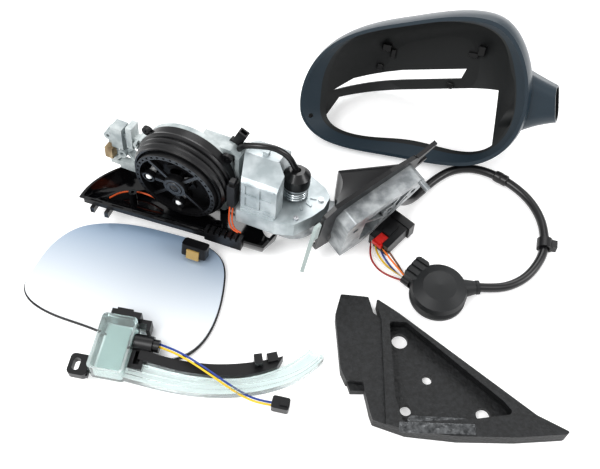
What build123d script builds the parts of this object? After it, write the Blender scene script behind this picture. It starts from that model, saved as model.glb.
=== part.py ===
from build123d import *
import math
import os

# Right-hand car door mirror, taken apart as a service kit and laid out on a bench.
# Row frame: X to the right of the bench, Y away from its near edge, Z up, millimetres.
# The mechanism has its own frame M: origin on the fold axis at the level of the lower
# cover's bottom, x towards the car, y towards the front of the car, z up the fold axis.

os.makedirs("parts", exist_ok=True)

# ---- layout on the bench ----
BENCH_SHIFT = (-0.55, -2.95)          # puts the origin under the middle of the layout
MECH_POS = (-7.5, 7.5, -0.85)         # where the fold axis meets the lower cover's bottom
MECH_YAW = -23.0
MECH_LEAN = -10.0
GLASS_FACE_POS = (-97, -46, 57)     # actuator centre, in M
HEAD_SHIFT = (2.0, 2.0)            # the head's frame parts against the fold axis, in M
GLASS_FACE_PITCH = 98.0             # the glass side faces 8 degrees down from level, in M
FOOT_POS = (65, 5.5, 50)            # middle of the door plate
FOOT_YAW = -53.0
FOOT_PITCH = 10.0
HOUSING_POS = (107, 118.7, 68.1)       # middle of the glass opening
HOUSING_YAW = -17.0
HOUSING_PITCH = 58.0
HOUSING_ROLL = 15.0
GLASS_POS = (-160, -55.2, 5.32)
GLASS_YAW = -14.5
GLASS_TILT = 0.6

# ---- fits and walls ----
GAP = 0.3                           # room between bodies that move past each other
RUNNING = 0.05                      # radial clearance of a turning fit
WALL = 2.5
HOLE_ROOM = 0.1                     # holes for cables are this much wider than the cable

# ---- fold mechanism ----
POST_R = 8.0
SEAT_R = 24.0
BASE_R = 30.0
HULL_BORE_R = 29.0
BASE_BOTTOM, BASE_TOP = 31.0, 46.0
RING_GEAR_R, RING_GEAR_TEETH = 12.0, 30
CROSS_WORM_R = 4.0
CROSS_X = -(RING_GEAR_R + CROSS_WORM_R + GAP)
CROSS_Z = 39.0
WHEEL_R, WHEEL_TEETH = 6.0, 12
FOLD_WORM_R = 2.8
FOLD_WORM_X = CROSS_X - WHEEL_R - FOLD_WORM_R - GAP
FOLD_WORM_Y = 8.5
SPRING_R, SPRING_WIRE_R = 10.5, 1.1

CASE_SCREWS = ((24, 4), (12, -27), (-47.8, -20.5), (-47, 23))
CASE_PLAN = [(-38, -36.7), (-4, -36.7), (-4, -21), (-13.5, -11), (-13.5, 18), (-46, 18), (-46, -12)]
CASE_CAVITY = [(-35, -34), (-6.5, -34), (-6.5, -22), (-16, -12), (-16, 15.5), (-43.5, 15.5), (-43.5, -12)]

HEAD_SWEEP_R = 41.5                 # the head's skirt sweeps this far as it folds

# ---- glass actuator ----
CUP_R = 45.0
RING_OUT_R, RING_IN_R = 39.5, 35.0
PLUNGER_R = 3.2
PAN_ARM, TILT_ARM = 27.0, 25.0      # plunger distance from the ball joint
NUT_R, NUT_TEETH = 9.0, 20
GLASS_WORM_R = 2.6

# ---- door foot ----
PLATE_T = 4.0
CASTING_T = 17.0
STUD_HOLE_R = 3.0
STUD_HOLE_DEPTH = 12.0
STUDS = ((-33, 4), (6, 2), (31, 13))     # (y, z) of the three bolt holes on the foot's face
PIN = (37, 24)
PIN_R, PIN_LONG = 3.0, 10.0

# ---- glass and housing ----
GLASS_T = 2.0
GLASS_OUTLINE = [(-84, -22), (-78, -41), (-56, -49.5), (5, -50.5), (75, -50), (86, -38), (92, 0),
                 (85, 31), (74, 52), (52, 62), (16, 62), (-20, 57.5), (-48, 48.5), (-68, 35), (-82, 6)]
GLASS_TURN = -7.0                   # the outline's lower edge slopes down towards the car
HOUSING_OUTLINE = [(-114, -14), (-103, 22), (-82, 45), (-48, 60), (0, 66.5), (52, 68.5), (86, 58),
                   (104, 30), (109, -8), (101, -42), (84, -64), (62, -75), (22, -75), (-28, -65),
                   (-76, -54), (-104, -38)]
DOME_SECTIONS = [(0, 0.985), (-14, 1.0), (-40, 0.93), (-66, 0.76), (-84, 0.44)]
CAVITY_SECTIONS = [(-2.2, 0.985), (-14, 1.0), (-39, 0.93), (-63.6, 0.76), (-81.2, 0.44)]
DOME_SHIFT = (12.0, 6.0)            # the dome's crown lies inboard of and above the middle

LAMP_TIP = (20, -130, 0.1)          # the strip's tip touches the bench, its block rests on the glass
LAMP_LEAN = 3.0

# ---- harness ----
CABLE_D = 8.5
WIRE_D = 1.8


def at(origin, yaw=0.0, pitch=0.0, roll=0.0):
    """A frame at origin, turned about Z, then about its own X, then about its own Z."""
    return Pos(*origin) * Rot(0, 0, yaw) * Rot(pitch, 0, 0) * Rot(0, 0, roll)


BENCH = Pos(BENCH_SHIFT[0], BENCH_SHIFT[1], 0)
MECH = BENCH * at(MECH_POS, MECH_YAW, MECH_LEAN)
HEAD = MECH * Pos(HEAD_SHIFT[0], HEAD_SHIFT[1], 0)
FACE_IN_HEAD = at(GLASS_FACE_POS, 0, GLASS_FACE_PITCH)
FACE = MECH * FACE_IN_HEAD
FOOT = BENCH * Pos(*FOOT_POS) * Rot(0, 0, FOOT_YAW) * Rot(0, FOOT_PITCH, 0)
HOUSING = BENCH * at(HOUSING_POS, HOUSING_YAW, HOUSING_PITCH, HOUSING_ROLL)
GLASS = BENCH * at(GLASS_POS, GLASS_YAW, GLASS_TILT)
LAMP = BENCH * Pos(*LAMP_TIP) * Rot(0, LAMP_LEAN, 0) * Pos(-LAMP_TIP[0], -LAMP_TIP[1], 0)


# ---------------------------------------------------------------- shape helpers
def disc(radius, low, high, x=0.0, y=0.0):
    """Upright cylinder between two heights."""
    return Pos(x, y, (low + high) / 2) * Cylinder(radius, high - low)


def tube_ring(outer, inner, low, high, x=0.0, y=0.0):
    return disc(outer, low, high, x, y) - disc(inner, low - 1, high + 1, x, y)


def brick(x, y, z):
    """Box given by its (low, high) pair along each axis."""
    size = (x[1] - x[0], y[1] - y[0], z[1] - z[0])
    return Pos((x[0] + x[1]) / 2, (y[0] + y[1]) / 2, (z[0] + z[1]) / 2) * Box(*size)


def prism(points, low, high, rounding=0.0):
    """Upright prism over a polygon, with its upright corners rounded."""
    face = make_face(Polyline(*points, close=True))
    if rounding:
        face = fillet(face.vertices(), rounding)
    return Pos(0, 0, low) * extrude(face, high - low)


def together(pieces):
    """Several separate solids that make up one named piece."""
    group = pieces[0]
    for piece in pieces[1:]:
        group = group + piece
    return group


def whole(shape):
    """The piece itself, without the slivers a cut leaves behind."""
    return max(shape.solids(), key=lambda solid: solid.volume)


def smooth_face(points):
    return make_face(Spline(*points, periodic=True))


def smooth_prism(points, low, high):
    return Pos(0, 0, low) * extrude(smooth_face(points), high - low)


def grown(points, amount):
    """Outline moved outwards by amount along each axis, about its own middle."""
    xs = [p[0] for p in points]
    ys = [p[1] for p in points]
    middle = ((min(xs) + max(xs)) / 2, (min(ys) + max(ys)) / 2)
    half = ((max(xs) - min(xs)) / 2, (max(ys) - min(ys)) / 2)
    scale = ((half[0] + amount) / half[0], (half[1] + amount) / half[1])
    return [(middle[0] + (p[0] - middle[0]) * scale[0], middle[1] + (p[1] - middle[1]) * scale[1])
            for p in points]


def turned(points, angle):
    c, s = math.cos(math.radians(angle)), math.sin(math.radians(angle))
    return [(p[0] * c - p[1] * s, p[0] * s + p[1] * c) for p in points]


def rod(start, end, radius):
    """Round bar from one point to another."""
    return sweep(Plane(start, z_dir=Vector(*end) - Vector(*start)) * Circle(radius), Line(start, end))


def cord_path(points, shortest=0.45):
    """Straight runs joined by the largest tangent arcs that they allow."""
    corners = [Vector(*p) for p in points]
    radii = []
    for a, b, c in zip(corners, corners[1:], corners[2:]):
        turn = (b - a).get_angle(c - b)
        run = min((b - a).length, (c - b).length)
        radii.append(shortest * run / math.tan(math.radians(turn / 2)))
    return FilletPolyline(*points, radius=radii), radii


def cord_tube(name, points, diameter):
    """Round cord along a route, with its length and tightest bend printed."""
    path, radii = cord_path(points)
    section = Plane(path @ 0, z_dir=path % 0) * Circle(diameter / 2)
    solid = sweep(section, path)
    expected = math.pi * diameter ** 2 / 4 * path.length
    print(f"{name}: length {path.length:.1f}, tightest radius {min(radii):.1f}, "
          f"volume ratio {solid.volume / expected:.4f}")
    return solid


def worm(radius, low, high, pitch=2.0):
    """Worm as a grooved cylinder about Z."""
    solid = disc(radius, low, high)
    grooves = int((high - low) / pitch)
    for i in range(1, grooves):
        z = low + i * pitch
        solid -= tube_ring(radius + 1, radius - 0.8, z - pitch / 4, z + pitch / 4)
    return solid


def toothed_wheel(radius, teeth, bore, low, high, depth=1.0):
    """Spur wheel about Z whose tooth tips reach the radius."""
    solid = disc(radius - depth, low, high)
    width = math.pi * radius / teeth * 0.9
    for i in range(teeth):
        tooth = brick((radius - depth - 0.5, radius - 0.05), (-width / 2, width / 2), (low, high))
        solid += Rot(0, 0, 360 / teeth * i) * tooth
    return solid - disc(bore, low - 1, high + 1)


# ---------------------------------------------------------------- foot, root of the mechanism (M)
def pivot_post():
    """Hollow steel post with a seat flange under the head."""
    post = disc(POST_R, 18, 62) + disc(POST_R - 2, 62, 66) + disc(15, 18, 20)
    return post - disc(4.5, 17, 70)


def detent_ring():
    """Cam ring whose three humps hold the head open or folded."""
    ring = tube_ring(22, 14, 28, 29.6)
    for angle in (20, 140, 260):
        hump = Pos(18, 0, 29.6) * Rot(90, 0, 0) * Cylinder(2.6, 7)
        ring += Rot(0, 0, angle) * (hump & brick((10, 26), (-4, 4), (29.0, 30.6)))
    return ring


def fold_ring_gear():
    return toothed_wheel(RING_GEAR_R, RING_GEAR_TEETH, POST_R, 36.5, 41.5)


def fold_spring():
    """Coil spring that presses the head onto its detents."""
    low = BASE_TOP + GAP + SPRING_WIRE_R
    coil = Helix(pitch=2.9, height=10.4, radius=SPRING_R)
    section = Plane(coil @ 0, z_dir=coil % 0) * Circle(SPRING_WIRE_R)
    return Pos(0, 0, low) * sweep(section, coil)


def spring_washer():
    return tube_ring(12.3, POST_R - 1.99, 59.6, 61.4) & (disc(13, 59, 61.9) - disc(POST_R, 59, 61.99))


def foot_bracket():
    """Cast foot: seat under the head, neck, and the ribbed face that bolts to the door."""
    seat = disc(SEAT_R, 12, 28) - disc(15, 17.9, 20) - disc(POST_R, 19.9, 29)
    seat -= disc(4.5, 11, 19)
    seat -= tube_ring(19.5, 11.5, 11, 25)
    in_bench = MECH * seat
    face_points = [(-44, -40), (-44, 14), (-36, 22), (36, 29), (42, 23), (40, 8), (-18, -40)]
    pocket_points = [(-23, -28), (-23, 12), (29, 21), (32, 12), (-8, -28)]
    casting = FOOT * upright_plate(face_points, 0, CASTING_T, 3)
    casting -= FOOT * upright_plate(pocket_points, 4, CASTING_T + 1, 2)
    for start, end in (((-23, 10), (12, -14)), ((-6, -28), (14, 17)), ((9, -12), (29, 19))):
        casting += FOOT * face_rib(start, end)
    for y, z in STUDS:
        casting += FOOT * across(7.5, 0, CASTING_T, y, z)
    neck = neck_arm()
    body = casting + neck + in_bench
    for y, z in STUDS:
        body -= FOOT * across(STUD_HOLE_R, CASTING_T - STUD_HOLE_DEPTH, CASTING_T + 1, y, z)
    body += FOOT * across(PIN_R, CASTING_T - 1, CASTING_T + PIN_LONG, *PIN)
    body -= MECH * (disc(15, 17.9, 20) + disc(POST_R, 19.9, 34) + disc(4.5, 8, 19))
    body -= MECH * disc(HEAD_SWEEP_R, 28, 60)
    return body


def across(radius, low, high, y, z):
    """Round boss or hole along the door plate's normal."""
    return Pos((low + high) / 2, y, z) * Rot(0, 90, 0) * Cylinder(radius, high - low)


def upright_plate(points, low, high, rounding=0.0):
    """Plate standing across the door plate's normal, outlined by (y, z) points."""
    return Rot(0, 90, 0) * Rot(0, 0, 90) * prism(points, low, high, rounding)


def face_rib(start, end):
    length = math.dist(start, end)
    angle = math.degrees(math.atan2(end[1] - start[1], end[0] - start[0]))
    middle = ((start[0] + end[0]) / 2, (start[1] + end[1]) / 2)
    return Pos((3 + CASTING_T) / 2, *middle) * Rot(angle, 0, 0) * Box(CASTING_T - 3, length, 3)


def neck_arm():
    """Arm from the seat to the casting, under the folding head."""
    root = MECH * (Rot(0, 0, 20) * Pos(10, 0, 20) * Rot(0, 90, 0) * RectangleRounded(16, 34, 5))
    tip = FOOT * (Pos(1, -8, -14) * Rot(0, 90, 0) * RectangleRounded(36, 52, 6))
    return loft([root, tip])


def cone_section(distance, width, height, rise, corner):
    return MECH * (Rot(0, 0, 20) * Pos(distance, 0, rise) * Rot(0, 90, 0)
                   * RectangleRounded(height, width, corner))


def foot_cover():
    """Black cover over the neck, from the door plate to a rounded mouth beside the head."""
    mouth = cone_section(38, 56, 54, 37, 17)
    plate_side = FOOT * (Pos(-PLATE_T - GAP, -5, -5) * Rot(0, 90, 0) * RectangleRounded(64, 100, 16))
    mouth_in = cone_section(37.5, 51, 49, 37, 14.5)
    plate_in = FOOT * (Pos(-PLATE_T, -5, -5) * Rot(0, 90, 0) * RectangleRounded(59, 95, 13.5))
    return loft([mouth, plate_side]) - loft([mouth_in, plate_in]) - MECH * disc(HEAD_SWEEP_R, 28, 100)


def base_seal():
    """Black door plate behind the casting, with two prongs at its far upper end."""
    outline = [(-60, -38), (-58, 26), (-46, 34), (14, 38), (44, 34), (50, 26), (46, 6), (12, -30),
               (-26, -42)]
    plate = upright_plate(outline, -PLATE_T, -0.05, 4)
    plate += upright_plate([(44, 30), (66, 39), (66, 35.5), (49, 25)], -PLATE_T, -0.05)
    plate += upright_plate([(46, 16), (60, 19), (60, 15.5), (47, 10)], -PLATE_T, -0.05)
    return FOOT * plate - neck_arm() - MECH * disc(HEAD_SWEEP_R, 20, 70)


def cover_lip():
    """Grey lower lip of the plate, a blade flaring out at the near end."""
    root = upright_plate([(-66, -12), (-66, 16), (-60.05, 18), (-60.05, -10)], -3.6, -0.4)
    blade = upright_plate([(1, 16), (-5, 20), (-13, 2), (-24, -32), (-20, -36), (-6, -12),
                           (1, -12)], -3.4, 0, 0.5)
    return FOOT * (root + Pos(-0.6, -64, 0) * Rot(0, 0, 36) * blade)


# ---------------------------------------------------------------- fold drive and its case (M, head)
def base_outline(grow=0.0):
    r = BASE_R + grow
    return [(r, -4), (r, 12), (r * 0.72, r * 0.69), (4, r * 0.98), (-51 - grow, r * 0.92), (-51 - grow, -22),
            (-41 - grow, -40 - grow), (-3, -40 - grow), (r * 0.45, -34 - grow), (r * 0.8, -r * 0.6)]


def motor_case_base():
    """Skirted base plate that turns on the post and carries the fold gears."""
    base = prism(base_outline(), BASE_BOTTOM, BASE_TOP, 1.5)
    base -= prism(base_outline(-WALL), BASE_BOTTOM + WALL, BASE_TOP - WALL, 1.0)
    base -= prism([(-40, -20), (-16.5, -10), (-16.5, 14), (-40, 14)], BASE_TOP - WALL - 1, BASE_TOP + 1)
    base += disc(13, BASE_BOTTOM, 36) + disc(14.5, 42, BASE_TOP)
    for x, y in CASE_SCREWS:
        base += disc(3.4, BASE_BOTTOM, BASE_TOP, x, y) & prism(base_outline(), BASE_BOTTOM, BASE_TOP, 1.5)
        base -= disc(1.6, BASE_BOTTOM - 1, BASE_TOP + 1, x, y)
    for angle in (-50, -20, 10):
        base += Rot(0, 0, angle) * brick((14, 20), (-1, 1), (BASE_TOP - 0.5, BASE_TOP + 1))
    room = Cylinder(CROSS_WORM_R + 0.6, 28) + Pos(0, 0, -FOLD_WORM_Y) * Cylinder(WHEEL_R + 0.5, 4.4)
    base -= Pos(CROSS_X, 0, CROSS_Z) * Rot(90, 0, 0) * room
    return base - disc(POST_R + RUNNING, BASE_BOTTOM - 1, BASE_TOP + 2)


def fold_motor_case():
    """Cast case over the fold motor, with four framed recesses on its rear face."""
    profile = [(-36.7, BASE_TOP), (-36.7, 79), (-33, 82), (-12, 91), (2, 91), (18, 80), (18, BASE_TOP)]
    roof = Pos(-50, 0, 0) * extrude(Plane.YZ * make_face(Polyline(*profile, close=True)), 50)
    case = prism(CASE_PLAN, BASE_TOP, 100) & roof
    case -= prism(CASE_CAVITY, BASE_TOP - 1, 75)
    case -= brick((-38, -18), (-13, 8), (74, 85))
    for x in (-34, -20):
        for z in (51, 65):
            case -= brick((x, x + 11), (-38, -35.4), (z, z + 11))
    case += brick((-37.5, -5), (-38, -36.7), (BASE_TOP, BASE_TOP + 2.5))
    case += brick((-35.5, -6.5), (-38, -36.7), (78, 80))
    case += brick((-30, -25), (-9, -4), (90.9, 95))
    return case


def case_screws():
    """Four screws that hold the case's base plate."""
    screws = []
    for x, y in CASE_SCREWS:
        screw = disc(1.5, BASE_BOTTOM + 0.5, BASE_TOP, x, y) + disc(2.5, BASE_TOP + 0.01, BASE_TOP + 2, x, y)
        screws.append(screw - brick((x - 2, x + 2), (y - 0.4, y + 0.4), (BASE_TOP + 1.2, BASE_TOP + 3)))
    return together(screws)


def fold_motor():
    body = disc(8, 52, 70, FOLD_WORM_X, FOLD_WORM_Y - 1.5) & brick((-44, -15.5), (-8, 15.2), (51, 71))
    return body + disc(3, 70, 71.5, FOLD_WORM_X, FOLD_WORM_Y - 1.5)


def fold_worm():
    return Pos(FOLD_WORM_X, FOLD_WORM_Y, 0) * (worm(FOLD_WORM_R, 35, 46) + disc(1.2, 46, 51.7))


def cross_shaft():
    """Shaft across the base: a wheel driven by the motor's worm, and the worm on the ring gear."""
    shaft = worm(CROSS_WORM_R, -5, 5) + disc(1.8, -12, -5) + disc(1.8, 5, 13)
    wheel = Pos(0, 0, -FOLD_WORM_Y - 1.5) * toothed_wheel(WHEEL_R, WHEEL_TEETH, 0.5, 0, 3)
    shaft += wheel + disc(1.8, -FOLD_WORM_Y - 4, -4.5)
    return Pos(CROSS_X, 0, CROSS_Z) * Rot(90, 0, 0) * shaft


def cable_cap():
    """Rubber cap over the spring and the post, with a collar for the cable."""
    cap = disc(12.5, 61.8, 72) + Pos(0, 0, 72) * Cone(12.5, 7, 6, align=(Align.CENTER, Align.CENTER, Align.MIN))
    return cap - disc(10, 61, 71) - disc(3.4, 70, 80) - head_cable()


# ---------------------------------------------------------------- lower cover (M, head)
HULL_TIP, HULL_CORNER, HULL_SIDE, HULL_END = (-194, -66), (-8, -49.5), (-3, -32), (-6, 16)
HULL_FRONT = [(-63, 23), (-123, 10), (-166, -18), (-186, -41)]
HULL_MIDDLE = (-93, -27)
HULL_SECTIONS = [(0, 0.80, 0.42), (4, 0.92, 0.72), (12, 0.98, 0.93), (26, 1.0, 1.0), (48, 1.01, 1.03)]


def hull_face(height, scale_x, scale_y, inset):
    def moved(p):
        x = HULL_MIDDLE[0] + (p[0] - HULL_MIDDLE[0]) * (scale_x - inset / 95)
        y = HULL_MIDDLE[1] + (p[1] - HULL_MIDDLE[1]) * (scale_y - inset / 42)
        return (x, y)
    near = Line(moved(HULL_TIP), moved(HULL_CORNER))
    side = Line(moved(HULL_CORNER), moved(HULL_SIDE))
    end = Line(moved(HULL_SIDE), moved(HULL_END))
    front = Spline(moved(HULL_END), *[moved(p) for p in HULL_FRONT], moved(HULL_TIP))
    return Pos(0, 0, height) * make_face([near, side, end, front])


def above_rim(lift=0.0):
    """Everything above the cover's rim, which rises from the glass side to the front."""
    return Pos(-100, -70, 12 + lift) * Rot(17, 0, 0) * brick((-200, 200), (-100, 200), (0, 120))


def lower_cover():
    """Glossy boat-shaped lower cover, open at the top."""
    outer = loft([hull_face(z, sx, sy, 0) for z, sx, sy in HULL_SECTIONS])
    inner = loft([hull_face(z + WALL, sx, sy, WALL) for z, sx, sy in HULL_SECTIONS])
    cover = outer - inner - above_rim() - disc(HULL_BORE_R, -1, 60)
    cover -= prism(base_outline(1.0), BASE_BOTTOM - 1.5, 60)
    for x in (-176, -161):
        cover += Pos(x, -63, 9) * Rot(0, 0, 5) * Box(4, 13, 6)
    for x in (-150, -60):
        cover += disc(4, 1, 16, x, -38) - disc(1.6, 4, 17, x, -38)
    return cover


def cover_trim():
    """Slotted rail along the cover's rear edge."""
    rail = Pos(-111, -57.4, 14.2) * Rot(0, 0, 5.2) * Box(150, 4.0, 4.6)
    for i in range(7):
        rail -= Pos(-111, -57.4, 16.6) * Rot(0, 0, 5.2) * Pos(-63 + 21 * i, 0, 0) * Box(12, 1.6, 3)
    return rail - lower_cover()


def cable_guide():
    """Ribbed guide block on the rear edge near the fold axis."""
    guide = brick((-70, -34), (-54, -46), (9, 22))
    for i in range(6):
        guide -= brick((-67 + 5.5 * i, -65 + 5.5 * i), (-55, -45), (19, 23))
    return moved_head(Rot(0, 0, 3) * guide) - lower_cover() - cover_trim()


def entry_lamp_socket():
    """Holder for the entry lamp under the rear edge."""
    body = Pos(-70, -70, 6.5) * Rot(-12, 0, 4) * (Pos(0, 0, -6) * extrude(RectangleRounded(24, 11, 2.5), 12))
    lens_pocket = Pos(-70, -76, 4) * Rot(-12, 0, 4) * Box(13, 5, 12)
    outer_wall = loft([hull_face(z, sx, sy, -GAP / 3) for z, sx, sy in HULL_SECTIONS])
    return body - lens_pocket - outer_wall


def entry_lamp_lens():
    lens = Pos(-70, -75.4, 4) * Rot(-12, 0, 4) * Box(12.4, 3.4, 10)
    return fillet(lens.edges().filter_by(GeomType.LINE).sort_by(Axis.Y)[:4], 0.8)


# ---------------------------------------------------------------- glass actuator (FACE frame)
def actuator_housing():
    """Round cup that holds the two glass drives."""
    cup = disc(CUP_R, -28, -20) + disc(41, -20, -11)
    cup -= disc(CUP_R - 2.4, -25.6, -20) - tube_ring(CUP_R, 38.5, -22.5, -19)
    cup -= disc(38.5, -24, -10)
    for angle in (35, 145, 215, 325):
        ear = disc(5, -28, -24.5, 48, 0) - disc(2, -29, -20, 48, 0)
        cup += Rot(0, 0, angle) * ear
    cup += disc(2.6, -25.8, -4.4)
    cup += Sphere(6) + disc(2.6, -8, -3)
    return cup


def dust_bellows():
    """Ribbed rubber ring round the actuator's mouth."""
    profile = [(41.2, -19.8), (46.4, -19.8), (47, -18), (46.4, -16.2), (44.2, -15), (45.6, -13.2),
               (45.6, -11.4),
               (43.4, -9.8), (44.8, -8), (44.8, -6.2), (42.8, -4.4), (42.8, -1.8), (41.2, -1.8)]
    face = make_face(Plane.XZ * Polyline(*profile, close=True))
    return revolve(face, Axis.Z, 360)


def gearbox_cover():
    """Inner cover with two raised motor bars and openings for the plungers and the ball."""
    plate = disc(38.2, -13, -11)
    for x, y in ((10, 16), (-8, -13)):
        bar = Pos(x, y, -10) * Rot(0, 0, 28) * Box(46, 14, 2.8)
        plate += fillet(bar.edges().filter_by(Axis.Z), 2) & disc(33.4, -14, 0)
    for x, y in ((-PAN_ARM, 0), (0, -TILT_ARM)):
        plate += tube_ring(8, 5.6, -13, -8.5, x, y)
        plate -= disc(5.6, -14, -5, x, y)
    for x, y in ((24, -20), (-20, 24), (29, 10)):
        plate += disc(3, -13, -9.5, x, y)
    return (plate & disc(38.2, -14, 0)) - disc(11.8, -14, -5)


def glass_motor(x, y, angle):
    motor = Pos(x, y, -19.2) * Rot(0, 0, angle) * Rot(0, 90, 0) * Cylinder(5, 24)
    return motor


def drive_worm(x, y, angle):
    return Pos(x, y, -19.2) * Rot(0, 0, angle) * Rot(0, 90, 0) * (worm(GLASS_WORM_R, -6, 6) + disc(1, 6, 9.7))


def drive_nut(x, y):
    """Toothed nut round a plunger."""
    return Pos(x, y, 0) * toothed_wheel(NUT_R, NUT_TEETH, PLUNGER_R + RUNNING * 2, -22.5, -16)


def plunger(x, y):
    """Push rod with a ball tip that carries one side of the glass ring."""
    return disc(PLUNGER_R, -20.5, -5, x, y) + disc(1.8, -5, -1.5, x, y) + Pos(x, y, 0) * Sphere(3.4)


def gimbal():
    """Inner cup of the ball joint, which pans on the ball."""
    ring = Sphere(8.4) - Sphere(6.3)
    ring &= brick((-9, 9), (-9, 9), (-4.6, 4.6))
    return ring


def glass_carrier():
    """Ring that clips to the glass backing, on spokes from the ball joint."""
    carrier = tube_ring(RING_OUT_R, RING_IN_R, -3, 3)
    carrier += (Sphere(11.4) - Sphere(8.7)) & brick((-12, 12), (-12, 12), (-4, 4))
    for angle in (45, 135, 225, 315):
        carrier += Rot(0, 0, angle) * brick((10.6, RING_IN_R + 1), (-1.6, 1.6), (-1.2, 1.2))
    for x, y in ((-PAN_ARM, 0), (0, -TILT_ARM)):
        turn = 180 if y == 0 else 270
        carrier += tube_ring(6, 4.3, -2.5, 2.5, x, y)
        carrier += Rot(0, 0, turn) * brick((PAN_ARM + 5.4 if y == 0 else TILT_ARM + 5.4, RING_IN_R + 1),
                                           (-2, 2), (-1.5, 1.5))
        carrier += Rot(0, 0, turn) * brick((10.6, PAN_ARM - 5.4 if y == 0 else TILT_ARM - 5.4),
                                           (-2, 2), (-1.5, 1.5))
    for i in range(36):
        carrier -= Rot(0, 0, 10 * i) * brick((36.4, 38.2), (-1.2, 1.2), (2.2, 4))
    return carrier


# ---------------------------------------------------------------- head frame (M, head)
def lattice(x, z, y, bar):
    """Flat lattice of bars between (low, high) x and z, with crossing ribs."""
    frame = brick(x, y, z) - brick((x[0] + bar, x[1] - bar), (y[0] - 1, y[1] + 1), (z[0] + bar, z[1] - bar))
    middle = ((x[0] + x[1]) / 2, (y[0] + y[1]) / 2, (z[0] + z[1]) / 2)
    length = math.hypot(x[1] - x[0], z[1] - z[0]) - 2 * bar
    for sign in (-1, 1):
        angle = sign * math.degrees(math.atan2(z[1] - z[0], x[1] - x[0]))
        frame += Pos(*middle) * Rot(0, angle, 0) * Box(length, y[1] - y[0], bar * 0.7)
    return frame


def moved_head(shape):
    """Frame parts are laid out round the actuator, a little off the fold axis."""
    return Pos(HEAD_SHIFT[0], HEAD_SHIFT[1], 0) * shape


def head_frame():
    """Light grey frame: a dish behind the actuator and an arm on each side."""
    dish = disc(44.5, -33, -28.05) + Pos(0, 0, -33) * Rot(180, 0, 0) * Cone(
        42, 30, 6, align=(Align.CENTER, Align.CENTER, Align.MIN))
    dish -= disc(34, -32, -28) + disc(26, -37, -28)
    frame = Pos(-HEAD_SHIFT[0], -HEAD_SHIFT[1], 0) * FACE_IN_HEAD * dish
    frame += lattice((-186, -148), (24, 66), (-20, -12), 5)
    frame += brick((-156, -146), (-18, -12), (40, 60)) + brick((-180, -168), (-24, -11), (50, 74))
    frame += brick((-164, -158), (-23, -10), (54, 78)) + brick((-172, -150), (-26, -18), (28, 36))
    for x, z in ((-183, 62), (-152, 62), (-170, 44)):
        frame += Pos(x, -16, z) * Rot(90, 0, 0) * Cylinder(4.5, 16)
        frame -= Pos(x, -16, z) * Rot(90, 0, 0) * Cylinder(1.8, 18)
    box = brick((-90, -50), (-22, -6), (64, 94)) - brick((-86, -54), (-24, -11), (68, 90))
    box = box - Pos(-50, -14, 96) * Rot(0, 40, 0) * Box(24, 20, 14)
    frame += box
    frame += brick((-152, -134), (-20, -13), (50, 66))
    frame += brick((-60, -48.2), (-12, -4), (60, 72)) + brick((-56, -51), (-16, -2), (76, 90))
    frame += Pos(-56, -14, 60) * Rot(0, 90, 0) * Cylinder(3.5, 14)
    frame += lattice((-74, -50.2), (30, 64), (-14, -8), 4)
    frame += brick((-76, -58), (-16, -12), (44, 56))
    frame += disc(4, 5, 26, -128, -12) + disc(4, 5, 36, -70, -10)
    frame = moved_head(frame) - FACE_IN_HEAD * disc(53.5, -28.04, 2)
    return whole(frame - motor_case_base() - lower_cover() - head_cable())


def foam_pads():
    """Foam anti-rattle pads on the two arms of the head frame."""
    left = brick((-186, -178), (-28, -20.1), (38, 50))
    right = brick((-83, -67), (-20, -11.1), (69, 82))
    room = head_frame() + FACE_IN_HEAD * disc(53.5, -28.04, 2)
    return together([whole(moved_head(left) - room), whole(moved_head(right) - room)])


def heater_plug():
    """Two-way plug for the glass heater, held on a stub above the frame."""
    plug = Pos(-55, -8, 100) * Rot(0, 25, 0) * (Box(9, 7, 15) - Pos(0, 0, 7) * Box(6, 4, 6))
    plug += Pos(-58.5, -8, 92.5) * Rot(0, 25, 0) * Box(13, 5, 3)
    return whole(moved_head(plug + Pos(-60, -8, 94.5) * Box(4, 4, 3)) - head_frame() - head_cable())


CAP_CABLE = [(-54, -7, 74), (-54, -10, 86), (-48, -13, 98), (-33, -12, 103), (-20, -8, 103),
             (-8, -3, 94), (0, 0, 76)]


def head_cable():
    """Sleeved cable from the head frame over the motor case and down into the cap."""
    return cord_tube("head_cable", CAP_CABLE, 5.6)


def head_connector():
    """Black connector hanging between the actuator and the motor case."""
    body = Pos(-47.9, -38, 60) * Box(7.4, 10, 25) + Pos(-47.9, -38, 74.5) * Box(5, 6, 5)
    return body - head_wires()


WIRE_DROP = [(-46.4, -40, 49), (-46.8, -41, 39), (-46, -43.5, 30), (-42, -46, 23.5), (-35, -47, 23)]
COVER_WIRE = [(-172, -50, 8), (-166, -38, 8), (-153, -31, 8), (-138, -30, 8), (-124, -33, 8)]


def head_wires():
    """Two loose wires from the head connector down into the cover, and the one lying in the cover."""
    wires = [cord_tube("cover_wire", COVER_WIRE, 1.8)]
    for i in range(2):
        points = [(x - 2.6 * i, y - 1.0 * i, z) for x, y, z in WIRE_DROP]
        wires.append(cord_tube(f"head_wire_{i + 1}", points, 1.5))
    return together(wires)


# ---------------------------------------------------------------- housing shell (HOUSING frame)
def dome_section(height, scale, inset):
    share = height / DOME_SECTIONS[-1][0]
    shift = (DOME_SHIFT[0] * share, DOME_SHIFT[1] * share)
    points = [(x * scale + shift[0], y * scale + shift[1]) for x, y in grown(HOUSING_OUTLINE, -inset)]
    return Pos(0, 0, height) * smooth_face(points)


def opening_points(grow):
    return turned(grown(GLASS_OUTLINE, grow), GLASS_TURN)


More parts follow.
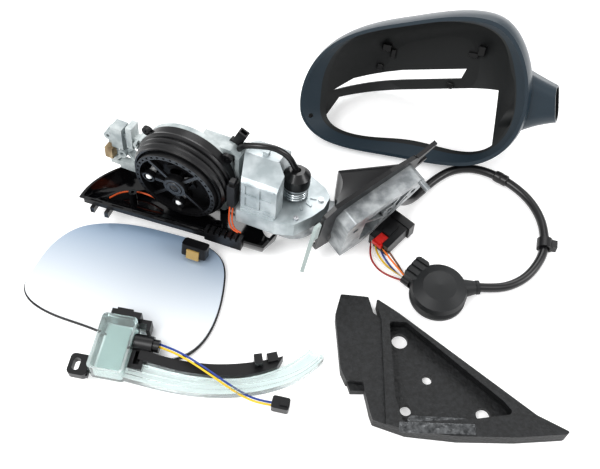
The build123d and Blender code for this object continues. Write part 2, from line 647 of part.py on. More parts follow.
def housing_shell():
    """Painted shell: bezel round the glass opening, dome, lamp slot, open belly and arm stub."""
    outer = loft([dome_section(z, s, 0) for z, s in DOME_SECTIONS])
    stub = loft([Pos(76, -14, -32) * Rot(0, 90, 0) * RectangleRounded(54, 92, 20),
                 Pos(106, -18, -31) * Rot(0, 90, 0) * RectangleRounded(42, 56, 14),
                 Pos(134, -24, -28) * Rot(0, 82, 0) * RectangleRounded(30, 34, 11)])
    stub_in = loft([Pos(72, -14, -32) * Rot(0, 90, 0) * RectangleRounded(49, 86, 17.5),
                    Pos(106, -18, -31) * Rot(0, 90, 0) * RectangleRounded(37, 51, 11.5),
                    Pos(137, -24.4, -28) * Rot(0, 82, 0) * RectangleRounded(25, 29, 8.5)])
    inner = loft([dome_section(z, s, 2.8) for z, s in CAVITY_SECTIONS])
    funnel = loft([Pos(0, 0, 0.01) * smooth_face(grown(HOUSING_OUTLINE, -4.5)),
                   Pos(0, 0, -13) * smooth_face(opening_points(2.5))])
    funnel_back = loft([Pos(0, 0, 0.01) * smooth_face(grown(HOUSING_OUTLINE, -2.0)),
                        Pos(0, 0, -13) * smooth_face(opening_points(5.0))])
    shell = outer + stub
    shell -= prism([(-96, -32), (-84, -17), (78, -20), (70, -90), (-100, -90)], -100, -16)
    shell -= prism([(-90, -9), (-70, -1), (-20, 2.5), (46, 1), (40, -9), (-20, -8)], -100, -30)
    shell -= inner - funnel_back
    shell -= funnel
    shell -= stub_in
    shell -= disc(2.2, -30, 5, -103, -22)
    return shell


# ---------------------------------------------------------------- glass (GLASS frame)
def glass_plate(grow, low, high):
    return smooth_prism(turned(grown(GLASS_OUTLINE, grow), GLASS_TURN), low, high)


def mirror_glass():
    return glass_plate(0, 0, GLASS_T)


def heater_foil():
    """Thin heating foil between the glass and its backing."""
    return glass_plate(-3, -0.4, 0) - disc(2, -1, 1)


def glass_backing():
    """Ribbed backing plate with the ring that snaps onto the actuator."""
    backing = glass_plate(1.2, -2.4, -0.4)
    backing += tube_ring(33, 30, -5, -1.4) + tube_ring(46, 44, -4, -1.4)
    for angle in range(0, 360, 45):
        backing += Rot(0, 0, angle) * brick((31.5, 45), (-1, 1), (-3.6, -1.6))
    return backing


# ---------------------------------------------------------------- turn lamp (bench)
LAMP_OUTER = [(-176, -145), (-148, -152), (-118, -159.5), (-76, -165), (-46, -163.5), (-20, -157.5),
              (2, -147), (20, -130)]
LAMP_INNER = [(8, -123), (-4, -133), (-20, -142), (-44, -149.5), (-77, -151), (-111, -145.5), (-140, -137.5)]
LAMP_CORNER = (-159, -125)          # middle of the lamp's block


def lamp_lens():
    """Clear lens: a block at the outer end and a curved light strip along the slot."""
    outer = Spline(*LAMP_OUTER)
    tip = Line(LAMP_OUTER[-1], LAMP_INNER[0])
    inner = Spline(*LAMP_INNER)
    end = Line(LAMP_INNER[-1], LAMP_OUTER[0])
    strip = extrude(make_face([outer, tip, inner, end]), 9)
    guide_top = Pos(0, 0, 9) * extrude(make_face(
        [Spline(*shifted(LAMP_OUTER, 3.5)), Line(shifted(LAMP_OUTER, 3.5)[-1], shifted(LAMP_OUTER, 7.5)[-1]),
         Spline(*shifted(LAMP_OUTER, 7.5)[::-1]), Line(shifted(LAMP_OUTER, 7.5)[0], shifted(LAMP_OUTER, 3.5)[0])]), 2)
    block = Pos(*LAMP_CORNER, 0) * Rot(0, 0, -10) * extrude(RectangleRounded(31, 52, 4), 20)
    hollow = Pos(*LAMP_CORNER, 2.5) * Rot(0, 0, -10) * extrude(RectangleRounded(26, 47, 3), 15)
    lens = block + strip + guide_top - hollow - lamp_socket()
    return whole(lens - blue_wire() - yellow_wire())


def shifted(points, amount):
    return [(x + amount * 0.25, y + amount) for x, y in points]


def lamp_backing():
    """Black carrier behind the strip, with a clip near its end."""
    near = [(-138, -136.3), (-111, -144.2), (-77, -149.7), (-44, -148.2), (-20, -140.7)]
    far = [(-15, -131), (-44, -137.5), (-77, -139.5), (-110, -135), (-136, -127)]
    bar = extrude(make_face([Spline(*near), Line(near[-1], far[0]), Spline(*far), Line(far[-1], near[0])]), 12)
    clip = Pos(-36, -138, 0) * Rot(0, 0, 10) * (extrude(Rectangle(7, 9), 22) - Pos(0, 0, 16) * Box(3, 12, 4))
    tooth = Pos(-24, -133, 0) * Rot(0, 0, 14) * extrude(Rectangle(9, 8), 15)
    lens_room = Pos(*LAMP_CORNER, -1) * Rot(0, 0, -10) * extrude(RectangleRounded(31.2, 52.2, 4), 40)
    return whole(bar + clip + tooth - lens_room - lamp_socket())


def lamp_block_cap():
    """Black cap round two sides of the lamp's block, with a hook and a slotted ear."""
    cap = Pos(3, 29.3, 0) * extrude(Rectangle(26, 6.4), 17)
    cap += Pos(0, 34, 0) * extrude(Rectangle(14, 5), 12)
    cap += Pos(20, 27, 0) * extrude(Rectangle(11, 4), 12) + Pos(24, 23, 0) * extrude(Rectangle(3.4, 7), 12)
    cap += Pos(-17.2, 2, 0) * extrude(Rectangle(2.6, 60), 5) + Pos(-12, 29.3, 0) * extrude(Rectangle(13, 5), 5)
    ear = Pos(-25, -20, 0) * extrude(RectangleRounded(17, 19, 4), 8)
    ear -= Pos(-27, -20, -1) * extrude(RectangleRounded(6, 11, 2.5), 10)
    return Pos(*LAMP_CORNER, 0) * Rot(0, 0, -10) * (cap + ear)


def lamp_socket():
    """Bulb socket and its bracket at the inboard side of the block."""
    frame = Pos(*LAMP_CORNER, 0) * Rot(0, 0, -10)
    body = frame * Pos(24, 8, 9.5) * Rot(0, 90, 0) * Cylinder(7.5, 16)
    body += frame * Pos(34.5, 8, 9.5) * Rot(0, 90, 0) * Cylinder(5.5, 6)
    body += frame * Pos(22, -6, 0) * (extrude(Rectangle(12, 20), 11) - Pos(0, 0, 7) * Box(5, 12, 10))
    body += frame * Pos(24, 8, 0) * extrude(Rectangle(14, 10), 9)
    tail = frame * Pos(40, -3, 0) * Rot(0, 0, -14) * extrude(Rectangle(38, 6), 6)
    return body + tail - blue_wire() - yellow_wire()


def lamp_led_board():
    """Small circuit board inside the lamp's block."""
    return Pos(*LAMP_CORNER, 6) * Rot(0, 0, -10) * extrude(RectangleRounded(20, 40, 2), 1.6)


LAMP_WIRE = [(-121.5, -122.5, 9.5), (-111, -127.5, 13), (-96, -136.5, 17), (-80, -146.5, 16),
             (-64, -156.5, 13),
             (-49, -164, 6), (-36, -168.5, 3), (-24, -170.5, 3.5)]


def lamp_wire(name, side):
    points = [(x + 0.4 * side, y + 1.15 * side, z) for x, y, z in LAMP_WIRE]
    return cord_tube(name, points, WIRE_D)


def blue_wire():
    return lamp_wire("lamp_wire_blue", 1)


def yellow_wire():
    return lamp_wire("lamp_wire_yellow", -1)


def lamp_plug():
    """Two-way plug on the lamp's wires."""
    frame = Pos(-16.5, -171.5, 0) * Rot(0, 0, -12)
    plug = frame * extrude(RectangleRounded(15, 11, 2), 9)
    plug += frame * Pos(3, 0, 9) * Box(7, 5, 3)
    return plug - frame * Pos(7, 0, 4.5) * Box(6, 6, 4) - blue_wire() - yellow_wire()


# ---------------------------------------------------------------- harness (bench)
CABLE_ROUTE = [(88, 13, 38), (94, 20, 27), (101, 28, 15), (109, 37, 7), (121, 50, 4.3), (135, 63, 4.3),
               (151, 73, 4.3),
               (170, 75.5, 4.3), (189, 69, 4.3), (207, 56, 4.3), (222, 38, 4.3), (230, 17, 4.3),
               (231, -4, 4.3),
               (227, -24, 4.3), (212, -45, 4.3), (196, -56, 4.3), (178, -61.5, 6), (160, -62.5, 10.2)]
GROMMET_POS = (124, -67, 0)


def harness_cable():
    """Sleeved cable from the foot round to the door grommet."""
    return cord_tube("harness_cable", CABLE_ROUTE, CABLE_D)


def door_grommet():
    """Rubber door grommet: a round cup with a ribbed collar and a neck for the cable."""
    profile = [(0, 0), (22, 0), (25.5, 3), (25.5, 6), (23, 8), (23, 11), (25.5, 13), (24, 18), (15, 22),
               (0, 24)]
    cup = revolve(make_face(Plane.XZ * Polyline(*profile, close=True)), Axis.Z, 360)
    body = Pos(*GROMMET_POS) * cup
    neck = Plane((139, -64.2, 10.2), z_dir=(21, 1.7, 0)) * Cone(
        10, CABLE_D / 2 + 1.4, 21, align=(Align.CENTER, Align.CENTER, Align.MIN))
    collar = Plane((158, -62.7, 10.2), z_dir=(21, 1.7, 0)) * Cylinder(
        CABLE_D / 2 + 2.2, 3, align=(Align.CENTER, Align.CENTER, Align.MIN))
    block = Pos(105.5, -47.5, 0) * Rot(0, 0, -40) * extrude(RectangleRounded(14, 24, 4), 19)
    for i in range(3):
        block -= Pos(105.5, -47.5, 19) * Rot(0, 0, -40) * Pos(0, -7 + 7 * i, 0) * Box(15, 2, 3)
    cable_room = cord_tube("hole", CABLE_ROUTE, CABLE_D + HOLE_ROOM)
    return less_wires(body + neck + collar + block - cable_room - rod((94, -51, 6), (100, -57, 7.5), 4.25))


def harness_sleeve():
    """Short black sleeve where the wires leave the grommet."""
    return less_wires(rod((94, -51, 6), (100, -57, 7.5), 4.2))


WIRE_ROUTES = [
    [(93.6, -50.6, 6.0), (86, -44, 5.5), (77, -34, 5), (70, -21, 6), (70.2, -12.2, 7.4)],
    [(95.2, -49.0, 7.4), (89, -40, 8), (81, -29, 9), (75, -19, 10.5), (72.6, -12.6, 11.2)],
    [(92.4, -51.8, 8.2), (83, -46, 9.5), (73, -36, 9), (66, -24, 9.6), (67.6, -13.0, 11.2)],
    [(94.2, -50.2, 3.6), (88, -42.5, 2.2), (80.5, -31, 1.6), (74.5, -19, 4), (74.6, -11.2, 7.2)],
    [(91.9, -52.2, 5.4), (81, -47, 3.2), (70, -38, 3), (64, -25, 5), (66.6, -12.6, 7.4)],
    [(95.9, -48.4, 5.0), (92, -38, 4), (85, -27, 6), (79, -18, 9), (76.4, -12.2, 11.2)],
]


def harness_wires():
    """Six loose wires from the sleeve to the connector."""
    wires = []
    for i, route in enumerate(WIRE_ROUTES):
        wires.append(cord_tube(f"harness_wire_{i + 1}", route, WIRE_D))
    return together(wires)


def less_wires(piece):
    """The piece with a hole for each loose wire."""
    for route in WIRE_ROUTES:
        piece -= cord_tube("hole", route, WIRE_D + HOLE_ROOM)
    return piece


CONNECTOR = Pos(82.5, -7.5, 0) * Rot(0, 0, 47)


def connector_cavity():
    """Slot for the lock, along the connector's length."""
    return Pos(-12, 0, 15) * Box(16, 11, 5)


def door_connector():
    """Rectangular door connector, wires at one end and the mating face at the other."""
    body = Pos(0, 0, 11) * Box(30, 22, 14)
    body += Pos(18, 0, 11) * Box(8, 26, 16) + Pos(2, 0, 18.4) * Box(14, 8, 2)
    body -= Pos(18, 0, 11) * Box(10, 20, 10)
    for i in range(3):
        for z in (8.4, 12.4):
            body -= Pos(-14, -5.6 + 5.6 * i, z) * Box(6, 2.6, 2.6)
    body -= brick((-20, -5.5), (-4.4, 4.4), (17, 20))
    return less_wires(CONNECTOR * (body - connector_cavity()))


def connector_lock():
    """Red sliding lock on the connector."""
    lock = Pos(-11.5, 0, 15.1) * Box(13, 10.4, 4.2) + Pos(-14, 0, 18.2) * Box(5, 8, 2.2)
    return CONNECTOR * lock


def cable_clip():
    """Clip that ties the cable to the door panel."""
    ring = Rot(0, 90, 0) * (Cylinder(7.2, 10) - Cylinder(CABLE_D / 2 + 0.75, 12))
    clip = Pos(229.2, -13.8, 4.3) * Rot(0, 0, 78.7) * (ring + Pos(0, -8.6, 0) * Box(8, 5, 8))
    return clip & brick((150, 300), (-60, 60), (0.02, 30))


# ---------------------------------------------------------------- door gasket (bench)
GASKET_TAB = [(36.4, -71.3), (60.8, -74.1), (64.5, -90), (72, -96), (86, -197), (59.5, -187.3),
              (57.4, -180.5),
              (52.7, -154.4), (38.5, -152.6), (34.3, -141.9), (31, -91.5)]
GASKET_SAIL = [(67.3, -76.3), (87.2, -91.5), (193.7, -183.9), (219, -198.2), (215.4, -200.3),
               (175.5, -202.7),
               (128, -201.8), (86, -197), (70, -191), (71, -98)]
GASKET_POCKET = [(78, -99), (93, -100), (100, -107), (168, -172), (176, -183), (143.8, -187), (84, -190),
                 (79, -168)]


def door_gasket():
    """Foam door gasket: sail-shaped rim with a pocket, holes and a raised pad, and a flat tab."""
    sail = prism(GASKET_SAIL, 0, 16, 1.2)
    tab = prism(GASKET_TAB, 0, 14, 1.5)
    foot = prism([(40, -153), (54, -155), (55, -160), (42, -160)], 0, 8)
    gasket = sail + tab + foot - prism(GASKET_POCKET, 5, 20, 3)
    pad = Pos(113, -189.5, 0) * Rot(0, 0, -3) * extrude(RectangleRounded(50, 11, 4), 12)
    gasket += pad
    for x, y, radius in ((87, -113, 7), (108, -149, 4.2), (88, -176, 4.8), (152, -180, 6)):
        gasket -= disc(radius, -1, 6, x, y)
    return gasket


# ---------------------------------------------------------------- export
NODES = {
    "foot_bracket": lambda: foot_bracket(),
    "foot_cover": lambda: foot_cover(),
    "cover_lip": lambda: cover_lip(),
    "base_seal": lambda: base_seal(),
    "pivot_post": lambda: MECH * pivot_post(),
    "detent_ring": lambda: MECH * detent_ring(),
    "fold_ring_gear": lambda: MECH * fold_ring_gear(),
    "fold_spring": lambda: MECH * fold_spring(),
    "spring_washer": lambda: MECH * spring_washer(),
    "motor_case_base": lambda: MECH * motor_case_base(),
    "fold_motor_case": lambda: MECH * fold_motor_case(),
    "case_screws": lambda: MECH * case_screws(),
    "fold_motor": lambda: MECH * fold_motor(),
    "fold_worm": lambda: MECH * fold_worm(),
    "cross_shaft": lambda: MECH * cross_shaft(),
    "cable_cap": lambda: MECH * cable_cap(),
    "lower_cover": lambda: MECH * lower_cover(),
    "cover_trim": lambda: MECH * cover_trim(),
    "cable_guide": lambda: MECH * cable_guide(),
    "entry_lamp_socket": lambda: HEAD * entry_lamp_socket(),
    "entry_lamp_lens": lambda: HEAD * entry_lamp_lens(),
    "actuator_housing": lambda: FACE * actuator_housing(),
    "dust_bellows": lambda: FACE * dust_bellows(),
    "gearbox_cover": lambda: FACE * gearbox_cover(),
    "pan_motor": lambda: FACE * glass_motor(3, 13, 0),
    "tilt_motor": lambda: FACE * glass_motor(24, -13, 90),
    "pan_worm": lambda: FACE * drive_worm(-21, 12, 0),
    "tilt_worm": lambda: FACE * drive_worm(12, -25, 90),
    "pan_nut": lambda: FACE * drive_nut(-PAN_ARM, 0),
    "tilt_nut": lambda: FACE * drive_nut(0, -TILT_ARM),
    "pan_plunger": lambda: FACE * plunger(-PAN_ARM, 0),
    "tilt_plunger": lambda: FACE * plunger(0, -TILT_ARM),
    "gimbal": lambda: FACE * gimbal(),
    "glass_carrier": lambda: FACE * glass_carrier(),
    "head_frame": lambda: MECH * head_frame(),
    "foam_pads": lambda: MECH * foam_pads(),
    "heater_plug": lambda: MECH * heater_plug(),
    "head_cable": lambda: MECH * head_cable(),
    "head_connector": lambda: HEAD * head_connector(),
    "head_wires": lambda: HEAD * head_wires(),
    "housing_shell": lambda: HOUSING * housing_shell(),
    "mirror_glass": lambda: GLASS * mirror_glass(),
    "heater_foil": lambda: GLASS * heater_foil(),
    "glass_backing": lambda: GLASS * glass_backing(),
    "lamp_lens": lambda: LAMP * lamp_lens(),
    "lamp_backing": lambda: LAMP * lamp_backing(),
    "lamp_block_cap": lambda: LAMP * lamp_block_cap(),
    "lamp_socket": lambda: LAMP * lamp_socket(),
    "lamp_led_board": lambda: LAMP * lamp_led_board(),
    "lamp_wire_blue": lambda: LAMP * blue_wire(),
    "lamp_wire_yellow": lambda: LAMP * yellow_wire(),
    "lamp_plug": lambda: LAMP * lamp_plug(),
    "harness_cable": lambda: BENCH * harness_cable(),
    "cable_clip": lambda: BENCH * cable_clip(),
    "door_grommet": lambda: BENCH * door_grommet(),
    "harness_sleeve": lambda: BENCH * harness_sleeve(),
    "harness_wires": lambda: BENCH * harness_wires(),
    "door_connector": lambda: BENCH * door_connector(),
    "connector_lock": lambda: BENCH * connector_lock(),
    "door_gasket": lambda: BENCH * door_gasket(),
}

for node, make in NODES.items():
    export_step(make(), f"parts/{node}.step")
print("nodes", len(NODES))
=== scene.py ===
import math

import bpy
from mathutils import Matrix, Vector


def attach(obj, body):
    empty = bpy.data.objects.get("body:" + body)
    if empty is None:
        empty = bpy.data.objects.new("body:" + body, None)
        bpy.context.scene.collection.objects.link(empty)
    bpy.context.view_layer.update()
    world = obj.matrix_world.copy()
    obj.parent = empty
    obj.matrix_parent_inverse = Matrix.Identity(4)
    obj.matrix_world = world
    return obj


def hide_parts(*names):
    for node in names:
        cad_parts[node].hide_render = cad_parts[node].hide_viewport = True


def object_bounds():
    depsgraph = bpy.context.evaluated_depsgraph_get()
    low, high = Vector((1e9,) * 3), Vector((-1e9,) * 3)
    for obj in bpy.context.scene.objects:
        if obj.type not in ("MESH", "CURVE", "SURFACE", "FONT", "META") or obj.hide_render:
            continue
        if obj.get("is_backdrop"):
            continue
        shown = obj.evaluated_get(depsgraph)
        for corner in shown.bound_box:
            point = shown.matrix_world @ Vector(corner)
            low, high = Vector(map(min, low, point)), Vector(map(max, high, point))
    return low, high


SHIFT = Vector((-0.00055, -0.00295, 0.0))       # the bench layout against the row origin
OPEN_SIDE = Vector((-0.25, -0.81, 0.53))        # the way that the housing's open side faces
RIM_MIDDLE = (107, 118.7, 68.1)                 # the middle of that open side, mm on the bench
PAINT_DEPTH = 0.0095                            # how far the paint reaches in from the rim


# ---------------------------------------------------------------- materials
def principled(name, color, rough=0.5, metal=0.0, coat=0.0, ior=1.5, transmission=0.0):
    """Material with one Principled shader."""
    m = bpy.data.materials.new(name)
    m.use_nodes = True
    b = m.node_tree.nodes["Principled BSDF"]
    b.inputs["Base Color"].default_value = (*color, 1)
    b.inputs["Roughness"].default_value = rough
    b.inputs["Metallic"].default_value = metal
    b.inputs["Coat Weight"].default_value = coat
    b.inputs["Coat Roughness"].default_value = 0.08
    b.inputs["IOR"].default_value = ior
    b.inputs["Transmission Weight"].default_value = transmission
    return m


def coordinates(m):
    n = m.node_tree.nodes.get("Texture Coordinate")
    return n or m.node_tree.nodes.new("ShaderNodeTexCoord")


def bumped(m, scale, strength, distance=0.0003, detail=3.0):
    """Fine relief on the surface."""
    t = m.node_tree
    tex = t.nodes.new("ShaderNodeTexNoise")
    tex.inputs["Detail"].default_value = detail
    tex.inputs["Scale"].default_value = scale
    t.links.new(coordinates(m).outputs["Object"], tex.inputs["Vector"])
    bump = t.nodes.new("ShaderNodeBump")
    bump.inputs["Strength"].default_value = strength
    bump.inputs["Distance"].default_value = distance
    t.links.new(tex.outputs["Fac"], bump.inputs["Height"])
    t.links.new(bump.outputs["Normal"], t.nodes["Principled BSDF"].inputs["Normal"])
    return m


def varied(m, scale, dark, light):
    """Colour that drifts between two tones over the surface."""
    t = m.node_tree
    tex = t.nodes.new("ShaderNodeTexNoise")
    tex.inputs["Scale"].default_value = scale
    tex.inputs["Detail"].default_value = 4.0
    t.links.new(coordinates(m).outputs["Object"], tex.inputs["Vector"])
    ramp = t.nodes.new("ShaderNodeValToRGB")
    ramp.color_ramp.elements[0].position = 0.35
    ramp.color_ramp.elements[0].color = (*dark, 1)
    ramp.color_ramp.elements[1].position = 0.65
    ramp.color_ramp.elements[1].color = (*light, 1)
    t.links.new(tex.outputs["Fac"], ramp.inputs["Fac"])
    t.links.new(ramp.outputs["Color"], t.nodes["Principled BSDF"].inputs["Base Color"])
    return m


def make_materials():
    """Every material by its name."""
    m = {}
    m["painted_primer"] = bumped(principled("painted_primer", (0.014, 0.027, 0.039), 0.38, 0.0, 0.12),
                                 2600, 0.12, 0.0001)
    m["shell_inside"] = inner_material()
    m["gloss_black"] = principled("gloss_black", (0.004, 0.004, 0.005), 0.12, 0.0, 0.4)
    m["satin_black"] = principled("satin_black", (0.008, 0.008, 0.009), 0.34)
    m["boss_black"] = principled("boss_black", (0.0025, 0.0025, 0.003), 0.3)
    m["grained_black"] = bumped(principled("grained_black", (0.012, 0.012, 0.013), 0.5), 1800, 0.3, 0.0002)
    m["black_rubber"] = principled("black_rubber", (0.007, 0.007, 0.008), 0.3, 0.0, 0.1)
    m["charcoal_rubber"] = bumped(principled("charcoal_rubber", (0.009, 0.010, 0.011), 0.5), 900, 0.25, 0.0002)
    m["cast_silver"] = varied(bumped(principled("cast_silver", (0.5, 0.52, 0.54), 0.42, 0.55),
                                     1300, 0.35, 0.0003),
                              90, (0.2, 0.215, 0.225), (0.44, 0.46, 0.47))
    m["case_silver"] = varied(bumped(principled("case_silver", (0.62, 0.66, 0.68), 0.4, 0.35), 1500, 0.2, 0.0002),
                              60, (0.34, 0.385, 0.4), (0.54, 0.585, 0.6))
    m["steel"] = principled("steel", (0.55, 0.56, 0.58), 0.28, 1.0)
    m["zinc_spring"] = principled("zinc_spring", (0.78, 0.82, 0.84), 0.16, 1.0)
    m["frame_grey"] = varied(principled("frame_grey", (0.5, 0.54, 0.54), 0.4),
                             70, (0.26, 0.3, 0.31), (0.5, 0.54, 0.54))
    m["tan_foam"] = varied(bumped(principled("tan_foam", (0.3, 0.22, 0.12), 0.8), 2500, 0.6, 0.0004),
                           80, (0.16, 0.11, 0.06), (0.44, 0.35, 0.22))
    m["white_nylon"] = principled("white_nylon", (0.8, 0.82, 0.82), 0.32)
    m["amber_lens"] = principled("amber_lens", (0.6, 0.42, 0.16), 0.12, 0.0, 0.3, 1.5, 0.3)
    m["clear_lens"] = principled("clear_lens", (0.86, 0.95, 0.94), 0.06, 0.0, 0.0, 1.45, 0.92)
    m["foil"] = principled("foil", (0.5, 0.48, 0.4), 0.4, 0.6)
    m["lip_grey"] = principled("lip_grey", (0.36, 0.42, 0.41), 0.38)
    m["board_green"] = principled("board_green", (0.5, 0.62, 0.6), 0.4)
    m["wire_yellow"] = principled("wire_yellow", (0.75, 0.5, 0.02), 0.4)
    m["wire_blue"] = principled("wire_blue", (0.02, 0.05, 0.28), 0.4)
    m["wire_white"] = principled("wire_white", (0.75, 0.75, 0.72), 0.4)
    m["wire_orange"] = principled("wire_orange", (0.75, 0.18, 0.02), 0.4)
    m["wire_red"] = principled("wire_red", (0.3, 0.01, 0.01), 0.4)
    m["wire_brown"] = principled("wire_brown", (0.14, 0.05, 0.02), 0.4)
    m["wire_mixed"] = principled("wire_mixed", (0.6, 0.1, 0.02), 0.4)
    m["lock_red"] = principled("lock_red", (0.55, 0.02, 0.015), 0.35)
    m["brass"] = principled("brass", (0.6, 0.42, 0.16), 0.3, 1.0)
    m["foam_charcoal"] = varied(bumped(principled("foam_charcoal", (0.008, 0.009, 0.01), 0.55),
                                       420, 0.9, 0.0009, 2.0),
                                260, (0.005, 0.0055, 0.006), (0.014, 0.015, 0.0165))
    # shiny pebbled skin with real bumps and gloss, whose lighter colour is a painted sheen
    m["pad_skin_painted_sheen"] = varied(bumped(principled("pad_skin_painted_sheen", (0.06, 0.064, 0.068), 0.24, 0.3),
                                      260, 1.0, 0.0012, 2.0),
                               210, (0.03, 0.032, 0.034), (0.12, 0.125, 0.13))
    m["mirror_face"] = mirror_material()
    return m


def inner_material():
    """Dark grained plastic of the housing's hollow, with the paint reaching a little way in from the rim."""
    m = bumped(principled("shell_inside", (0.009, 0.0105, 0.011), 0.55), 1500, 0.35, 0.0002)
    t = m.node_tree
    dot = t.nodes.new("ShaderNodeVectorMath")
    dot.operation = "DOT_PRODUCT"
    dot.inputs[1].default_value = tuple(OPEN_SIDE)
    t.links.new(coordinates(m).outputs["Object"], dot.inputs[0])
    near = t.nodes.new("ShaderNodeMath")
    near.operation = "GREATER_THAN"
    near.inputs[1].default_value = on_bench(RIM_MIDDLE).dot(OPEN_SIDE) - PAINT_DEPTH
    t.links.new(dot.outputs["Value"], near.inputs[0])
    mix = t.nodes.new("ShaderNodeMix")
    mix.data_type = "RGBA"
    mix.inputs[6].default_value = (0.009, 0.0105, 0.011, 1)
    mix.inputs[7].default_value = (0.014, 0.027, 0.039, 1)
    t.links.new(near.outputs["Value"], mix.inputs[0])
    t.links.new(mix.outputs[2], t.nodes["Principled BSDF"].inputs["Base Color"])
    return m


def mirror_material():
    """Mirror with a painted reflection: its colour fades from pale steel blue at the far edge to near white at the
    near left.
    """
    m = principled("mirror_face", (0.7, 0.76, 0.82), 0.3, 0.35)
    t = m.node_tree
    dot = t.nodes.new("ShaderNodeVectorMath")
    dot.operation = "DOT_PRODUCT"
    dot.inputs[1].default_value = (1.9, 7.0, 0.0)
    t.links.new(coordinates(m).outputs["Object"], dot.inputs[0])
    # painted reflection: the base colour is graded across the glass
    ramp = t.nodes.new("ShaderNodeMapRange")
    ramp.inputs["From Min"].default_value = -1.08
    ramp.inputs["From Max"].default_value = -0.22
    t.links.new(dot.outputs["Value"], ramp.inputs["Value"])
    mix = t.nodes.new("ShaderNodeMix")
    mix.data_type = "RGBA"
    mix.inputs[6].default_value = (0.93, 0.95, 0.96, 1)
    mix.inputs[7].default_value = (0.2, 0.3, 0.43, 1)
    t.links.new(ramp.outputs["Result"], mix.inputs[0])
    t.links.new(mix.outputs[2], t.nodes["Principled BSDF"].inputs["Base Color"])
    return m


NODE_MATERIAL = {
    "foot_bracket": "cast_silver", "foot_cover": "satin_black", "cover_lip": "lip_grey", "base_seal": "satin_black",
    "pivot_post": "steel", "detent_ring": "steel", "fold_ring_gear": "steel", "fold_spring": "zinc_spring",
    "spring_washer": "steel", "motor_case_base": "case_silver", "fold_motor_case": "case_silver",
    "case_screws": "steel", "fold_motor": "steel", "fold_worm": "brass", "cross_shaft": "white_nylon",
    "cable_cap": "black_rubber", "lower_cover": "gloss_black", "cover_trim": "satin_black",
    "cable_guide": "satin_black", "entry_lamp_socket": "satin_black", "entry_lamp_lens": "amber_lens",
    "actuator_housing": "satin_black", "dust_bellows": "black_rubber", "gearbox_cover": "satin_black",
    "pan_motor": "steel", "tilt_motor": "steel", "pan_worm": "brass", "tilt_worm": "brass",
    "pan_nut": "white_nylon", "tilt_nut": "white_nylon", "pan_plunger": "white_nylon",
    "tilt_plunger": "white_nylon", "gimbal": "satin_black", "glass_carrier": "satin_black",
    "head_frame": "frame_grey", "foam_pads": "tan_foam", "heater_plug": "satin_black", "head_cable": "black_rubber",
    "head_connector": "satin_black", "head_wires": "wire_mixed", "housing_shell": "painted_primer",
    "mirror_glass": "mirror_face", "heater_foil": "foil", "glass_backing": "grained_black",
    "lamp_lens": "clear_lens", "lamp_backing": "satin_black", "lamp_block_cap": "satin_black",
    "lamp_socket": "satin_black", "lamp_led_board": "board_green", "lamp_plug": "satin_black",
    "cable_clip": "satin_black", "door_grommet": "charcoal_rubber", "harness_sleeve": "black_rubber",
    "door_connector": "satin_black", "connector_lock": "lock_red", "door_gasket": "foam_charcoal",
    "harness_cable": "black_rubber", "harness_wires": "wire_mixed", "lamp_wire_blue": "wire_blue",
    "lamp_wire_yellow": "wire_yellow",
}


def paint(frame, mats):
    """Each CAD node gets its material, and two nodes get a second one on some of their faces."""
    for name, o in frame["nodes"].items():
        o.data.materials.clear()
        o.data.materials.append(mats[NODE_MATERIAL[name]])
    darken_inside(frame["nodes"]["housing_shell"], mats["shell_inside"])
    paint_pad_skin_sheen(frame["nodes"]["door_gasket"], mats["pad_skin_painted_sheen"])


def darken_inside(shell, material):
    """The housing's inner faces, whose normals point to the middle of its hollow, get their own material."""
    shell.data.materials.append(material)
    middle = on_bench((124.5, 165, 66))
    for face in shell.data.polygons:
        centre = shell.matrix_world @ face.center
        normal = shell.matrix_world.to_3x3() @ face.normal
        if normal.dot(middle - centre) > 0.0:
            face.material_index = 1


def paint_pad_skin_sheen(gasket, material):
    """The top of the raised pad has a shiny pebbled skin, with a painted sheen in its lighter colour."""
    pad_top, close = 0.012, 0.0005
    gasket.data.materials.append(material)
    for face in gasket.data.polygons:
        centre = gasket.matrix_world @ face.center
        # upward-facing top faces get the painted sheen
        if abs(centre.z - pad_top) < close and face.normal.z > 0.9:
            face.material_index = 1


# ---------------------------------------------------------------- cords
CABLE_D, CABLE_LENGTH = 0.0085, 329.8           # m, and mm along the cable
WIRE_D, LAMP_WIRE_LENGTH = 0.0018, 112.2
CABLE = [(88, 13, 38), (94, 20, 27), (101, 28, 15), (109, 37, 7), (121, 50, 4.3), (135, 63, 4.3),
         (151, 73, 4.3),
         (170, 75.5, 4.3), (189, 69, 4.3), (207, 56, 4.3), (222, 38, 4.3), (230, 17, 4.3), (231, -4, 4.3),
         (227, -24, 4.3), (212, -45, 4.3), (196, -56, 4.3), (178, -61.5, 6), (160, -62.5, 10.2)]
WIRES = [
    ("wire_yellow", 47.0, [(93.6, -50.6, 6.0), (86, -44, 5.5), (77, -34, 5), (70, -21, 6),
                           (70.2, -12.2, 7.4)]),
    ("wire_orange", 43.2, [(95.2, -49.0, 7.4), (89, -40, 8), (81, -29, 9), (75, -19, 10.5),
                           (72.6, -12.6, 11.2)]),
    ("wire_white", 49.9, [(92.4, -51.8, 8.2), (83, -46, 9.5), (73, -36, 9), (66, -24, 9.6),
                          (67.6, -13.0, 11.2)]),
    ("wire_blue", 45.5, [(94.2, -50.2, 3.6), (88, -42.5, 2.2), (80.5, -31, 1.6), (74.5, -19, 4),
                         (74.6, -11.2, 7.2)]),
    ("wire_red", 53.1, [(91.9, -52.2, 5.4), (81, -47, 3.2), (70, -38, 3), (64, -25, 5), (66.6, -12.6, 7.4)]),
    ("wire_brown", 42.2, [(95.9, -48.4, 5.0), (92, -38, 4), (85, -27, 6), (79, -18, 9), (76.4, -12.2, 11.2)]),
]
